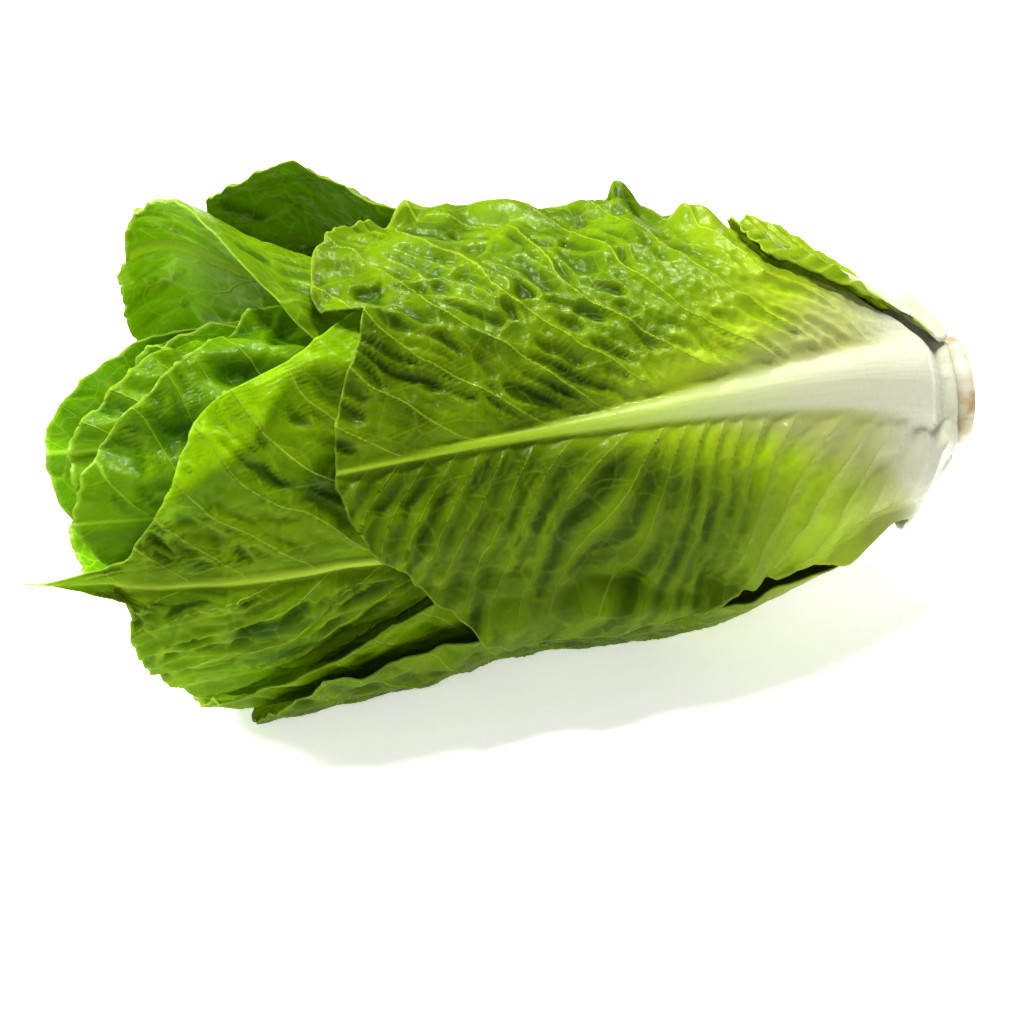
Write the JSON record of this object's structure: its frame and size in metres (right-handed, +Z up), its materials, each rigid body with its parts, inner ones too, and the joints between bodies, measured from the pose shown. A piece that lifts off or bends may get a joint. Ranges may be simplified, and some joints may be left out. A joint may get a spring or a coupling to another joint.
{
  "type": "romaine lettuce head",
  "caption": "Head of romaine lettuce lying on its side, with overlapping ribbed leaves round a short cut stem and loose leaf tips.",
  "frame": {"origin": "on the surface that the head lies on, in the flat spot under its lowest leaf", "axes": "+X along the head's axis towards the cut stem, -Y towards the side with the broad ribbed leaf, +Z up"},
  "size_m": [0.26, 0.1418, 0.1226],
  "materials": {
    "stem": "satin, moist cut face",
    "heart_leaf": "satin, pale heart leaf",
    "inner_leaf": "satin, vivid green leaf",
    "middle_leaf": "satin, yellow-green leaf",
    "outer_leaf": "semi-gloss, waxy green leaf with a white rib",
    "stub_leaf": "satin, small pale outer leaf"
  },
  "bodies": {
    "root": {"stem": "stem", "heart_leaf_innermost": "heart_leaf", "heart_leaf_back_low": "heart_leaf", "heart_leaf_front_low": "heart_leaf", "heart_leaf_back_high": "heart_leaf", "inner_leaf_front_high": "inner_leaf", "inner_leaf_bottom": "inner_leaf", "inner_leaf_back": "inner_leaf", "inner_leaf_back_low": "inner_leaf", "inner_leaf_front": "inner_leaf", "hooded_leaf_back": "middle_leaf", "pointed_leaf_front": "middle_leaf", "lower_leaf_front": "middle_leaf", "lower_leaf_back": "middle_leaf", "outer_leaf_back": "outer_leaf", "top_leaf_back": "outer_leaf", "outer_leaf_bottom": "outer_leaf", "outer_leaf_front": "outer_leaf", "outer_leaf_stub": "stub_leaf"}
  },
  "joints": []
}
